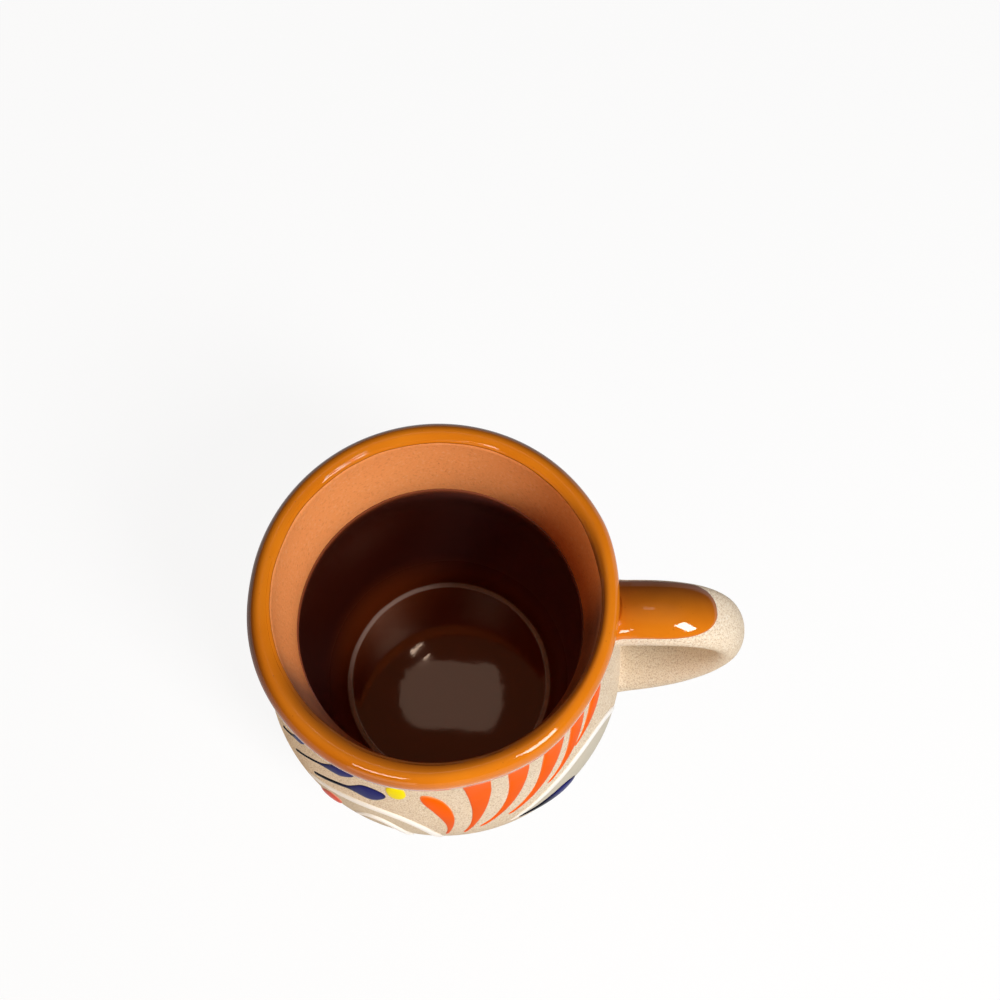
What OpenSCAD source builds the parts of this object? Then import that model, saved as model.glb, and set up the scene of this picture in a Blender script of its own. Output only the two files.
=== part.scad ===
// Jarrito: a small round-bellied mug of red clay with a pulled strap handle.
// The wall and floor are thrown in one piece and the strap is luted on with slip.
// Sandy slip coats the outside, caramel glaze covers the lip and the top of the strap,
// dark glaze lines the inside, and trailed glaze strokes stand on the slip coat.
// The origin is the middle of the foot on the table, +Z is up and the handle is at +X.

/* [Body] */
// Height of the clay, foot to top of the lip
mug_h = 101.5; // [94:0.5:110]
// Outer radius of the lip
lip_r = 40.5; // [38:0.5:43]
// Outer radius of the neck, the narrowest place
neck_r = 37.5; // [35:0.5:39]
// Depth of the neck below the top of the lip
neck_drop = 23; // [18:1:28]
// Outer radius of the belly, the widest place
belly_r = 45.5; // [42:0.5:49]
// Height of the belly above the table
belly_z = 43; // [38:1:48]
// Outer radius of the foot
foot_r = 30; // [27:0.5:33]
// Outward lean of the wall as it leaves the foot, for each unit of height
foot_lean = 0.8; // [0.5:0.05:1]
// Rounding of the foot's edge
foot_round = 1.5; // [0.5:0.25:3]
// Thickness of the clay at the lip
lip_t = 4.6; // [3.8:0.1:5.5]
// Thickness of the wall at the neck
neck_t = 3.7; // [3.2:0.1:4.5]
// Thickness of the wall at the belly
belly_t = 4.6; // [3.8:0.1:5.5]
// Thickness of the wall at the foot
foot_t = 6.2; // [5:0.1:7]
// Height of the lip's round top
lip_round_h = 2.8; // [2:0.1:4]
// Thickness of the floor
floor_t = 7; // [5:0.5:9]
// Radius of the flat of the floor inside
floor_r = 28; // [24:0.25:28.5]
// Height of the rounded corner between floor and wall
corner_h = 3.2; // [2.5:0.1:6]

/* [Handle] */
// Depth of the strap's upper root below the top of the lip
handle_drop = 9; // [8:0.25:12]
// Height of the strap's lower root above the table
handle_low_z = 41; // [38:0.5:46]
// Rise of the strap where it leaves the neck, in degrees
upper_angle = 13; // [5:1:20]
// Rise of the strap where it leaves the belly, in degrees
lower_angle = 41; // [30:1:50]
// Length over which the upper root's direction is held
upper_pull = 31; // [26:0.5:36]
// Length over which the lower root's direction is held
lower_pull = 30; // [25:0.5:35]
// Width of the strap at its upper root
strap_upper_w = 14; // [12:0.25:16]
// Width of the strap at its outer bend
strap_bend_w = 12; // [10:0.25:14]
// Width of the strap at its lower root
strap_lower_w = 14; // [12:0.25:16]
// Thickness of the strap
strap_t = 8; // [6.5:0.25:9]
// Reach of the upper slip joint out from the wall
upper_joint_len = 3.5; // [3:0.25:5]
// Reach of the lower slip joint out from the wall
lower_joint_len = 6; // [5.5:0.25:7]
// Spread of the slip joints past the strap's edge
joint_spread = 1.5; // [0.75:0.25:2.5]

/* [Coats] */
// Thickness of the sandy slip
slip_t = 0.5; // [0.3:0.05:0.8]
// Height above the table where the slip stops
slip_low_z = 3; // [2:0.25:6]
// Thickness of the caramel glaze
glaze_t = 0.5; // [0.3:0.05:0.8]
// Width of the caramel band below the top of the lip outside
lip_band = 7; // [5:0.25:10]
// Thickness of the dark liner glaze
liner_t = 0.4; // [0.3:0.05:0.8]
// Depth of the liner's edge below the neck
liner_drop = 2.5; // [0:0.25:6]
// Clearance between a coat and what carries it
seat_gap = 0.03; // [0.02:0.01:0.06]

/* [Strokes] */
// Times that the motif goes round the body
motif_count = 2; // [1:1:2]
// Painted band below the belly's widest place
paint_under = 7; // [5:0.5:9]
// Painted band above the neck
paint_over = 6; // [3:0.5:8]
// Greatest width of an orange drop
orange_w = 6.4; // [5:0.2:7]
// Greatest width of a blue drop
blue_w = 5; // [4:0.2:6]
// Greatest width of a red drop
red_w = 5; // [4:0.2:6]
// Width of a white line
white_w = 1.9; // [1.2:0.1:2.5]
// Width of a yellow dot
dot_w = 4.8; // [3.5:0.1:5.5]
// Height of a yellow dot
dot_h = 7; // [5:0.1:8]
// Height that a stroke's middle stands above its edge
stroke_rise = 0.55; // [0.3:0.05:0.9]
// Height of a stroke's edge
stroke_edge = 0.15; // [0.1:0.05:0.3]
// Clearance between a stroke and the slip coat
stroke_gap = 0.1; // [0.08:0.01:0.2]

/* [Hidden] */
$fn = 96;

// Length that cuts run past what they cut
overrun = 5;
// Short length over which a slope is measured
slope_step = 0.05;

// Steps along the wall, over the lip, round the floor's corner, along and round the strap
wall_steps = 32;
lip_steps = 12;
corner_steps = 10;
strap_steps = 24;
strap_sides = 20;
joint_steps = 5;
tongue_steps = 4;
tongue_half_sides = 4;

neck_z = mug_h - neck_drop;
lip_z = mug_h - lip_round_h;
lip_mid_r = lip_r - lip_t / 2;
corner_top_z = floor_t + corner_h;
band_low_z = mug_h - lip_band;
liner_top_z = neck_z - liner_drop;
// How far round the lip, in degrees from its outside, the caramel glaze reaches
lip_glaze_angle = 150;
// Fullness of the floor's corner
corner_share = 0.55;
// Squareness of the strap's oval section, 1 being a true oval
strap_square_share = 0.8;
// Part of the strap's length, and the turn either side of its crown, that the tongue covers
tongue_share = 0.235;
tongue_angle = 60;
// Part of the strap's length over which the tongue rounds off, at the front and at the back
front_round_share = 0.17;
back_round_share = 0.08;

// Small helpers

function mix(a, b, share) = a + (b - a) * share;

function reversed(list) = [for (i = [len(list) - 1 : -1 : 0]) list[i]];

function flat(lists) = [for (list = lists) each list];

function hermite(u, from_value, from_slope, to_value, to_slope) =
    from_value * (2 * u * u * u - 3 * u * u + 1) + from_slope * (u * u * u - 2 * u * u + u)
    + to_value * (3 * u * u - 2 * u * u * u) + to_slope * (u * u * u - u * u);

function bezier(p, u) =
    p[0] * pow(1 - u, 3) + p[1] * 3 * u * pow(1 - u, 2) + p[2] * 3 * u * u * (1 - u) + p[3] * pow(u, 3);

function bezier_slope(p, u) =
    (p[1] - p[0]) * 3 * pow(1 - u, 2) + (p[2] - p[1]) * 6 * u * (1 - u) + (p[3] - p[2]) * 3 * u * u;

function rounded(value) = sign(value) * pow(abs(value), strap_square_share);

// The wall's outline: foot to belly, belly to neck and neck to lip meet with no corner

function outer_r(z) =
    z < belly_z ? hermite(z / belly_z, foot_r, foot_lean * belly_z, belly_r, 0)
    : z < neck_z ? hermite((z - belly_z) / (neck_z - belly_z), belly_r, 0, neck_r, 0)
    : hermite((z - neck_z) / (lip_z - neck_z), neck_r, 0, lip_r, 0);

// The wall is pulled thinner from the foot to the neck and left thicker at the lip
function wall_thick(z) =
    z < belly_z ? hermite(z / belly_z, foot_t, 0, belly_t, 0)
    : z < neck_z ? hermite((z - belly_z) / (neck_z - belly_z), belly_t, 0, neck_t, 0)
    : hermite((z - neck_z) / (lip_z - neck_z), neck_t, 0, lip_t, 0);

function inner_r(z) = outer_r(z) - wall_thick(z);

function wall_lean(z) = (outer_r(z + slope_step) - outer_r(z - slope_step)) / (2 * slope_step);

function inner_lean(z) = (inner_r(z + slope_step) - inner_r(z - slope_step)) / (2 * slope_step);

function wall_path(from_z, to_z) =
    [for (i = [0 : wall_steps]) let (z = mix(from_z, to_z, i / wall_steps)) [outer_r(z), z]];

function lip_path(to_turn) =
    [for (i = [1 : lip_steps]) let (turn = to_turn * i / lip_steps)
        [lip_mid_r + lip_t / 2 * cos(turn), lip_z + lip_round_h * sin(turn)]];

function foot_path() =
    [for (turn = [0 : 22.5 : 67.5])
        [foot_r - foot_round + foot_round * sin(turn)
            + (outer_r(foot_round) - foot_r) * (1 - cos(turn)),
         foot_round * (1 - cos(turn))]];

corner_top = [inner_r(corner_top_z), corner_top_z];
corner_lean = inner_lean(corner_top_z);
corner_curve = [
    [floor_r, floor_t],
    [mix(floor_r, corner_top[0], corner_share), floor_t],
    corner_top - [corner_lean, 1] * corner_h * corner_share,
    corner_top
];

function inside_path(to_z) =
    concat(
        [[0, floor_t]],
        [for (i = [0 : corner_steps - 1]) bezier(corner_curve, i / corner_steps)],
        [for (p = wall_path(corner_top_z, to_z)) [inner_r(p[1]), p[1]]]
    );

// A coat of even thickness on the right-hand side of a path, or the left for a negative one

function path_side(path, i) =
    let (step = path[min(i + 1, len(path) - 1)] - path[max(i - 1, 0)])
    [step[1], -step[0]] / norm(step);

function beside(path, distance) = [for (i = [0 : len(path) - 1]) path[i] + path_side(path, i) * distance];

module coat(path, from_distance, to_distance) {
    rotate_extrude()
        polygon(concat(beside(path, from_distance), reversed(beside(path, to_distance))));
}

// Closed solids from rings of points or from two facing sheets of points

function ring_faces(rows, sides, closed) =
    [for (row = [0 : rows - (closed ? 1 : 2)], i = [0 : sides - 1])
        let (
            a = row * sides + i,
            b = row * sides + (i + 1) % sides,
            next = (row + 1) % rows * sides,
            c = next + (i + 1) % sides,
            d = next + i
        )
        each [[a, b, c], [a, c, d]]];

module loft(start, rings, finish) {
    sides = len(rings[0]);
    count = len(rings) * sides;
    last = count - sides;
    polyhedron(
        points = concat(flat(rings), [start, finish]),
        faces = concat(
            ring_faces(len(rings), sides, false),
            [for (i = [0 : sides - 1]) [count, (i + 1) % sides, i]],
            [for (i = [0 : sides - 1]) [count + 1, last + i, last + (i + 1) % sides]]
        ),
        convexity = 6
    );
}

module sleeve(outer_rings, inner_rings) {
    rings = concat(outer_rings, reversed(inner_rings));
    polyhedron(points = flat(rings), faces = ring_faces(len(rings), len(rings[0]), true), convexity = 6);
}

function sheet_faces(rows, columns, first, flip) =
    [for (row = [0 : rows - 2], i = [0 : columns - 2])
        let (
            a = first + row * columns + i,
            b = a + 1,
            c = b + columns,
            d = a + columns
        )
        each flip ? [[a, c, b], [a, d, c]] : [[a, b, c], [a, c, d]]];

function rim_faces(edge, shift) =
    [for (i = [0 : len(edge) - 1])
        let (a = edge[i], b = edge[(i + 1) % len(edge)])
        each [[a, b + shift, b], [a, a + shift, b + shift]]];

module pad(top, bottom) {
    rows = len(top);
    columns = len(top[0]);
    count = rows * columns;
    edge = concat(
        [for (i = [0 : columns - 2]) i],
        [for (row = [0 : rows - 2]) row * columns + columns - 1],
        [for (i = [columns - 1 : -1 : 1]) (rows - 1) * columns + i],
        [for (row = [rows - 1 : -1 : 1]) row * columns]
    );
    polyhedron(
        points = concat(flat(top), flat(bottom)),
        faces = concat(
            sheet_faces(rows, columns, 0, false),
            sheet_faces(rows, columns, count, true),
            rim_faces(edge, count)
        ),
        convexity = 4
    );
}

// The strap: an oval section along one smooth curve from the neck to the belly

upper_z = mug_h - handle_drop;
upper_way = [cos(upper_angle), sin(upper_angle)];
lower_way = [cos(lower_angle), sin(lower_angle)];
upper_start = [outer_r(upper_z), upper_z] + upper_way * upper_joint_len;
lower_start = [outer_r(handle_low_z), handle_low_z] + lower_way * lower_joint_len;
strap_curve = [
    upper_start,
    upper_start + upper_way * upper_pull,
    lower_start + lower_way * lower_pull,
    lower_start
];

function strap_w(u) =
    u < 0.5 ? hermite(2 * u, strap_upper_w, 0, strap_bend_w, 0)
    : hermite(2 * u - 1, strap_bend_w, 0, strap_lower_w, 0);

function strap_point(u, turn, grow) =
    let (
        middle = bezier(strap_curve, u),
        way = bezier_slope(strap_curve, u),
        crown = [-way[1], way[0]] / norm(way),
        across = (strap_w(u) / 2 + grow) * rounded(cos(turn)),
        out = (strap_t / 2 + grow) * rounded(sin(turn))
    )
    [middle[0] + crown[0] * out, across, middle[1] + crown[1] * out];

function strap_ring(u, grow) =
    [for (i = [0 : strap_sides - 1]) strap_point(u, 360 * i / strap_sides, grow)];

function strap_rings(grow) = [for (i = [0 : strap_steps]) strap_ring(i / strap_steps, grow)];

function strap_middle(u) = let (p = bezier(strap_curve, u)) [p[0], 0, p[1]];

// The slip joints: an oval foot on the wall that draws in to the strap's end

joint_core_share = 0.5;
upper_foot = [strap_upper_w / 2 + joint_spread, strap_t / 2 + joint_spread];
lower_foot = [strap_lower_w / 2 + joint_spread, strap_t / 2 / cos(lower_angle) + joint_spread];

function wall_point(y, z, grow) = [sqrt(pow(outer_r(z) + grow, 2) - y * y), y, z];

function foot_ring(foot, z, side, share, grow) =
    [for (i = [0 : strap_sides - 1]) let (turn = 360 * i / strap_sides)
        wall_point(foot[0] * share * cos(turn), z + side * foot[1] * share * sin(turn), grow)];

function drawn_in(from_ring, to_ring, u) =
    [for (i = [0 : strap_sides - 1])
        let (p = from_ring[i], q = to_ring[i], in_share = 1 - pow(1 - u, 2))
        [mix(p[0], q[0], u), mix(p[1], q[1], in_share), mix(p[2], q[2], in_share)]];

function joint_rings(foot, z, side, strap_end) =
    let (skin = foot_ring(foot, z, side, 1, slip_t))
    concat(
        [for (share = [joint_core_share, 1]) foot_ring(foot, z, side, share, seat_gap)],
        [for (i = [0 : joint_steps]) drawn_in(skin, strap_end, i / joint_steps)]
    );

function backed(ring, way) = [for (p = ring) p - [way[0], 0, way[1]] * seat_gap];

module slip_joint(foot, z, side, u, way) {
    rings = joint_rings(foot, z, side, backed(strap_ring(u, slip_t), way));
    middle = strap_middle(u) - [way[0], 0, way[1]] * seat_gap;
    if (side > 0) {
        loft(wall_point(0, z, seat_gap), rings, middle);
    } else {
        loft(middle, reversed(rings), wall_point(0, z, seat_gap));
    }
}

module joint_window(foot, z) {
    translate([0, 0, z])
        rotate([90, 0, 90])
            linear_extrude(height = belly_r + overrun)
                polygon([for (i = [0 : strap_sides - 1]) let (turn = 360 * i / strap_sides)
                    [(foot[0] + seat_gap) * cos(turn), (foot[1] + seat_gap) * sin(turn)]]);
}

// The strokes: paths on the slip coat by angle round the body and share of the painted band

paint_low_z = belly_z - paint_under;
paint_high_z = neck_z + paint_over;

function painted(angle, band_share) = [angle, mix(paint_low_z, paint_high_z, band_share)];

function degrees(length, z) = length / outer_r(z) * 180 / PI;

// A drop's path from tail to head, bent to one side by a share of its length
function drop_path(tail, head, bow_share) =
    let (
        middle = (tail + head) / 2,
        run = [(head[0] - tail[0]) * outer_r(middle[1]) * PI / 180, head[1] - tail[1]],
        bend = middle + [degrees(run[1], middle[1]), -run[0]] * bow_share
    )
    [tail, mix(tail, bend, 2 / 3), mix(head, bend, 2 / 3), head];

// Stations along a stroke, each a share of its path and a share of its full width
head_share = 0.84;
head_station_shares =
    [for (turn = [10, 30, 50, 70, 84]) [mix(head_share, 1, sin(turn)), cos(turn)]];
drop_station_shares = concat(
    [[0, 0.1], [0.2, 0.16], [0.4, 0.36], [0.6, 0.7], [0.75, 0.94]], head_station_shares
);
// A blue drop keeps a thin tail for longer
thin_station_shares = concat(
    [[0, 0.14], [0.25, 0.2], [0.45, 0.26], [0.6, 0.5], [0.74, 0.88]], head_station_shares
);
line_end_share = 0.3;
line_station_shares =
    [for (turn = [0 : 15 : 180]) [turn / 180, mix(line_end_share, 1, sqrt(sin(turn)))]];
oval_station_shares = [for (turn = [8 : 20.5 : 172]) [(1 - cos(turn)) / 2, sin(turn)]];
// Places across a stroke, and how much of the full rise its narrowest place keeps
across_shares = [-1, -0.45, 0.45, 1];
thin_rise_share = 0.3;

function stroke_point(path, station, width, across, height) =
    let (
        middle = bezier(path, station[0]),
        way = bezier_slope(path, station[0]),
        run = [way[0] * outer_r(middle[1]) * PI / 180, way[1]],
        side = [run[1], -run[0]] / norm(run) * across * station[1] * width / 2,
        wall_z = middle[1] + side[1],
        angle = middle[0] + degrees(side[0], middle[1]),
        lean = wall_lean(wall_z),
        off = (slip_t + stroke_gap + height) / norm([1, lean]),
        r = outer_r(wall_z) + off
    )
    [r * cos(angle), r * sin(angle), wall_z - lean * off];

module stroke(path, stations, width) {
    bottom = [for (station = stations) [for (across = across_shares)
        stroke_point(path, station, width, across, 0)]];
    top = [for (station = stations) [for (across = across_shares)
        let (swell = (1 - across * across) * mix(thin_rise_share, 1, station[1]))
        stroke_point(path, station, width, across, stroke_edge + stroke_rise * swell)]];
    pad(top, bottom);
}

module round_body() {
    for (i = [0 : motif_count - 1])
        rotate([0, 0, motif_angle * i])
            children();
}

// Turn from one motif to the next, half way round so that the handle stands between two
motif_angle = 180;

// Heads and tails of the fan's drops, left to right, with the share of the full width of each
fan_head_angles = [-92, -76, -59.5, -41.5, -28.5, -15];
fan_head_shares = [0.68, 0.94, 0.94, 0.91, 0.86, 0.7];
fan_tail_angles = [-86, -80.5, -75.5, -66, -51, -37];
fan_tail_shares = [0.2, 0.21, 0.27, 0.32, 0.42, 0.52];
fan_width_shares = [0.88, 1, 0.86, 1, 0.86, 0.85];
fan_bow_shares = [0.2, 0.17, 0.27, 0.25, 0.26, 0.14];

// The blue drops beside the fan and the one below it
blue_head_angles = [-105, -118.5, -139.5, -43];
blue_head_shares = [0.61, 0.71, 0.605, 0.17];
blue_tail_angles = [-130.5, -140.5, -150, -61];
blue_tail_shares = [0.36, 0.365, 0.38, 0.21];
blue_width_shares = [1.05, 0.78, 0.7, 1.3];
blue_bow_shares = [-0.1, -0.06, 0.1, 0.04];

// The red drop under the left arch
red_head = painted(-121, 0.25);
red_tail = painted(-131, 0.02);
red_bow_share = -0.1;

// The yellow dot
dot_angle = -102;
dot_share = 0.685;

// The white arches, each a curve of four points
arch_curves = [
    [painted(-134, 0.24), painted(-118, 0.41), painted(-93, 0.56), painted(-87.5, 0.08)],
    [painted(-66, 0.2), painted(-49, 0.42), painted(-24, 0.54), painted(-16, 0.22)],
    [painted(-115, 0.2), painted(-110, 0.34), painted(-101, 0.32), painted(-97, 0.04)]
];

// The sub-parts

module clay_body() {
    color("#bf6a3a")
        rotate_extrude()
            polygon(concat(
                [[0, 0]],
                foot_path(),
                wall_path(foot_round, lip_z),
                lip_path(180),
                reversed(inside_path(lip_z - slope_step))
            ));
}

module handle() {
    color("#c77a4a")
        loft(strap_middle(0), strap_rings(0), strap_middle(1));
}

module upper_joint() {
    color("#e0c7a6")
        slip_joint(upper_foot, upper_z, 1, 0, upper_way);
}

module lower_joint() {
    color("#e0c7a6")
        slip_joint(lower_foot, handle_low_z, -1, 1, lower_way);
}

module body_slip() {
    color("#e3cdb0")
        difference() {
            coat(wall_path(slip_low_z, band_low_z - seat_gap), seat_gap, slip_t);
            joint_window(upper_foot, upper_z);
            joint_window(lower_foot, handle_low_z);
        }
}

module handle_slip() {
    color("#e3cdb0")
        sleeve(strap_rings(slip_t), strap_rings(seat_gap));
}

module lip_glaze() {
    color("#d1741f")
        difference() {
            coat(concat(wall_path(band_low_z, lip_z), lip_path(lip_glaze_angle)), seat_gap, glaze_t);
            joint_window(upper_foot, upper_z);
        }
}

function tongue_spread(u, round_share) =
    let (past = max(0, (u - tongue_share) / round_share + 1))
    tongue_angle * sqrt(1 - past * past);

module handle_glaze() {
    straight_share = tongue_share - front_round_share;
    rows = concat(
        [for (i = [0 : tongue_steps]) straight_share * i / tongue_steps],
        [for (turn = [12 : 12 : 84]) tongue_share - front_round_share * (1 - sin(turn))]
    );
    function sheet(grow) =
        [for (u = rows) [for (i = [-tongue_half_sides : tongue_half_sides])
            let (round_share = i > 0 ? front_round_share : back_round_share)
            strap_point(u, 90 + tongue_spread(u, round_share) * i / tongue_half_sides, slip_t + grow)]];
    color("#cf701c")
        pad(sheet(glaze_t), sheet(seat_gap));
}

module liner_glaze() {
    color("#2b0d05")
        coat(inside_path(liner_top_z), -seat_gap, -liner_t);
}

module orange_strokes() {
    color("#f26a12")
        round_body()
            for (i = [0 : len(fan_head_angles) - 1])
                stroke(
                    drop_path(
                        painted(fan_tail_angles[i], fan_tail_shares[i]),
                        painted(fan_head_angles[i], fan_head_shares[i]),
                        fan_bow_shares[i]
                    ),
                    drop_station_shares, orange_w * fan_width_shares[i]
                );
}

module blue_strokes() {
    color("#2a2c66")
        round_body()
            for (i = [0 : len(blue_head_angles) - 1])
                stroke(
                    drop_path(
                        painted(blue_tail_angles[i], blue_tail_shares[i]),
                        painted(blue_head_angles[i], blue_head_shares[i]),
                        blue_bow_shares[i]
                    ),
                    thin_station_shares, blue_w * blue_width_shares[i]
                );
}

module white_arches() {
    color("#f6f1e8")
        round_body()
            for (curve = arch_curves)
                stroke(curve, line_station_shares, white_w);
}

module yellow_dots() {
    middle = painted(dot_angle, dot_share);
    half = [0, dot_h / 2];
    color("#f2d400")
        round_body()
            stroke([middle - half, middle - half / 3, middle + half / 3, middle + half],
                oval_station_shares, dot_w);
}

module red_strokes() {
    color("#d9604c")
        round_body()
            stroke(drop_path(red_tail, red_head, red_bow_share), drop_station_shares, red_w);
}

clay_body();
handle();
upper_joint();
lower_joint();
body_slip();
handle_slip();
lip_glaze();
handle_glaze();
liner_glaze();
orange_strokes();
blue_strokes();
white_arches();
yellow_dots();
red_strokes();
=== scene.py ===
import math

import bmesh
import bpy
from mathutils import Matrix, Quaternion, Vector


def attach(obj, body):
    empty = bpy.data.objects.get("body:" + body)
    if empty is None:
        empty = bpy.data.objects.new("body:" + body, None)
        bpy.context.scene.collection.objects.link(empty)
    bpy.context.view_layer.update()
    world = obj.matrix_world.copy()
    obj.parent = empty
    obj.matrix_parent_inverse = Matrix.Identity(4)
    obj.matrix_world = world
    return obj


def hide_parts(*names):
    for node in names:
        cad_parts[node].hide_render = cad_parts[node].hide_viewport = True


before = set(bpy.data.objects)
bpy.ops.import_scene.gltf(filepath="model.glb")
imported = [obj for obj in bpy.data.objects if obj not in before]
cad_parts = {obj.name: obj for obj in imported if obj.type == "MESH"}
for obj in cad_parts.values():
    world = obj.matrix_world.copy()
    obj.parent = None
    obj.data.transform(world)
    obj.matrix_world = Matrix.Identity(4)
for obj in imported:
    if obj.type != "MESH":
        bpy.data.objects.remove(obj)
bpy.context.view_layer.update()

# Sizes of the thrown body, in metres
MUG_H = 0.1015
LIP_R = 0.0405
NECK_R = 0.0375
NECK_Z = 0.0785
BELLY_R = 0.0455
BELLY_Z = 0.043
FOOT_R = 0.030
FOOT_LEAN = 0.8
FOOT_ROUND = 0.0015
LIP_T = 0.0046
NECK_T = 0.0037
BELLY_T = 0.0046
FOOT_T = 0.0062
LIP_ROUND_H = 0.0028
LIP_Z = MUG_H - LIP_ROUND_H
LIP_MID_R = LIP_R - LIP_T / 2
FLOOR_T = 0.007
FLOOR_R = 0.028
CORNER_H = 0.0032
CORNER_TOP_Z = FLOOR_T + CORNER_H
CORNER_FULL = 0.55
FLOOR_RING_R = 0.0287

# Sizes of the pulled strap and of the slip that joins it to the wall
UPPER_Z = MUG_H - 0.009
LOWER_Z = 0.041
UPPER_ANGLE = math.radians(13)
LOWER_ANGLE = math.radians(41)
UPPER_PULL = 0.031
LOWER_PULL = 0.030
STRAP_UPPER_W = 0.014
STRAP_BEND_W = 0.012
STRAP_LOWER_W = 0.014
STRAP_T = 0.008
UPPER_JOINT_LEN = 0.0035
LOWER_JOINT_LEN = 0.006
JOINT_SPREAD = 0.0009
JOINT_SUNK = 0.0006
JOINT_FLARE = 2.6
STRAP_PRESSED = 0.00015
TONGUE_ANGLE = math.radians(60)

# Shares of the strap's length: the joints' reach under its coat, and the ends of the glaze tongue
JOINT_UNDER = 0.03
TONGUE_END = 0.235
FRONT_ROUND = 0.17
BACK_ROUND = 0.08
TONGUE_EDGE = 0.03

# Sizes of the coats
SLIP_T = 0.0005
SLIP_LOW_Z = 0.003
SLIP_LOW_EDGE = 0.0008
SLIP_HIGH_EDGE = 0.0003
GLAZE_T = 0.00049
GLAZE_ROLL = 0.25
BAND_LOW_Z = MUG_H - 0.007
BAND_LOW_EDGE = 0.0005
BAND_INNER_EDGE = 0.0007
BAND_RIPPLE = 0.0016
BAND_LOOSE = 0.002
LIP_CROWN_WAY = 0.0082
LIP_GLAZE_ANGLE = math.radians(150)
LINER_T = 0.0004
LINER_TOP_Z = NECK_Z - 0.0025
LINER_EDGE = 0.0015
LINER_RIPPLE = 0.0012
LINER_LOOSE = 0.012
SEAT_GAP = 0.00003

# Spacing of the points along the turned outlines, and reach within which points are welded
INSIDE_STEP = 0.0008
CLAY_STEP = 0.0015
SLIP_STEP = 0.0009
GLAZE_STEP = 0.00015
LIP_START_GAP = 0.0002
WELD_REACH = 1e-6

# Sizes of the trailed strokes
PAINT_LOW_Z = BELLY_Z - 0.007
PAINT_HIGH_Z = NECK_Z + 0.006
STROKE_RISE = 0.00058
STROKE_SUNK = 0.00012
TAIL_RISE = 0.35
ORANGE_W = 0.0064
BLUE_W = 0.005
RED_W = 0.005
WHITE_W = 0.0019
DOT_W = 0.0048
DOT_H = 0.007

# How far the thrower's hand wandered from a true round
HAND_WANDER = 0.00022
HAND_SEED = 3.7
RIM_PUSHED_OUT = 0.0009
RIM_PUSHED_OUT_ANGLE = math.radians(232)
RIM_PUSHED_IN = 0.0009
RIM_PUSHED_IN_ANGLE = math.radians(347)


class Wire:
    """One socket's value. A sum written on wires adds its Math nodes to their tree."""

    def __init__(self, graph, socket):
        self.graph = graph
        self.socket = socket

    def __getitem__(self, name):
        return Wire(self.graph, self.graph.find(self.socket.node.outputs, name))

    def __add__(self, other):
        return self.graph.math("ADD", self, other)

    def __radd__(self, other):
        return self.graph.math("ADD", other, self)

    def __sub__(self, other):
        return self.graph.math("SUBTRACT", self, other)

    def __rsub__(self, other):
        return self.graph.math("SUBTRACT", other, self)

    def __mul__(self, other):
        return self.graph.math("MULTIPLY", self, other)

    def __rmul__(self, other):
        return self.graph.math("MULTIPLY", other, self)

    def __truediv__(self, other):
        return self.graph.math("DIVIDE", self, other)

    def __rtruediv__(self, other):
        return self.graph.math("DIVIDE", other, self)

    def __pow__(self, other):
        return self.graph.math("POWER", self, other)

    def __lt__(self, other):
        return self.graph.math("LESS_THAN", self, other)

    def __gt__(self, other):
        return self.graph.math("GREATER_THAN", self, other)

    def __abs__(self):
        return self.graph.math("ABSOLUTE", self)


class Graph:
    """A node tree, for a form or for a finish, that grows by one method."""

    def __init__(self, tree):
        self.tree = tree

    @staticmethod
    def find(sockets, key):
        if isinstance(key, int):
            return sockets[key]
        for socket in sockets:
            if socket.identifier == key:
                return socket
        return sockets[key]

    def add(self, kind, settings=None, sockets=None, out=0):
        """Adds a node, sets its settings and then its sockets, and gives one of its outputs."""
        node = self.tree.nodes.new(kind)
        for name, value in (settings or {}).items():
            if name == "stops":
                while len(node.color_ramp.elements) < len(value):
                    node.color_ramp.elements.new(0.5)
                for element, (place, colour) in zip(node.color_ramp.elements, value):
                    element.position = place
                    element.color = colour
            else:
                setattr(node, name, value)
        for key, value in (sockets or {}).items():
            socket = self.find(node.inputs, key)
            if isinstance(value, Wire):
                self.tree.links.new(value.socket, socket)
            else:
                socket.default_value = value
        if len(node.outputs) == 0:
            return node
        return Wire(self, self.find(node.outputs, out))

    def math(self, operation, *values):
        return self.add("ShaderNodeMath", {"operation": operation}, dict(enumerate(values)))

    def vector(self, x, y, z):
        return self.add("ShaderNodeCombineXYZ", None, {0: x, 1: y, 2: z})

    def ease(self, value, start, end):
        """0 before start and 1 after end, with a soft step between them."""
        sockets = {"Value": value, "From Min": start, "From Max": end}
        return self.add("ShaderNodeMapRange", {"interpolation_type": "SMOOTHSTEP"}, sockets)

    def noise(self, place, scale, detail=2.0, roughness=0.5):
        sockets = {"Vector": place, "Scale": scale, "Detail": detail, "Roughness": roughness}
        return self.add("ShaderNodeTexNoise", None, sockets)

    def cells(self, place, scale):
        return self.add("ShaderNodeTexVoronoi", None, {"Vector": place, "Scale": scale})

    def blend(self, share, first, second):
        sockets = {"Factor_Float": share, "A_Color": first, "B_Color": second}
        return self.add("ShaderNodeMix", {"data_type": "RGBA"}, sockets, "Result_Color")


# The wall's outline, for numbers and for wires


def hermite(u, start, start_slope, end, end_slope):
    square = u * u
    cube = square * u
    return (
        start * (2 * cube - 3 * square + 1)
        + start_slope * (cube - 2 * square + u)
        + end * (3 * square - 2 * cube)
        + end_slope * (cube - square)
    )


def hermite_slope(u, start, start_slope, end, end_slope):
    square = u * u
    return (
        (end - start) * (6 * u - 6 * square)
        + start_slope * (3 * square - 4 * u + 1)
        + end_slope * (3 * square - 2 * u)
    )


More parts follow.
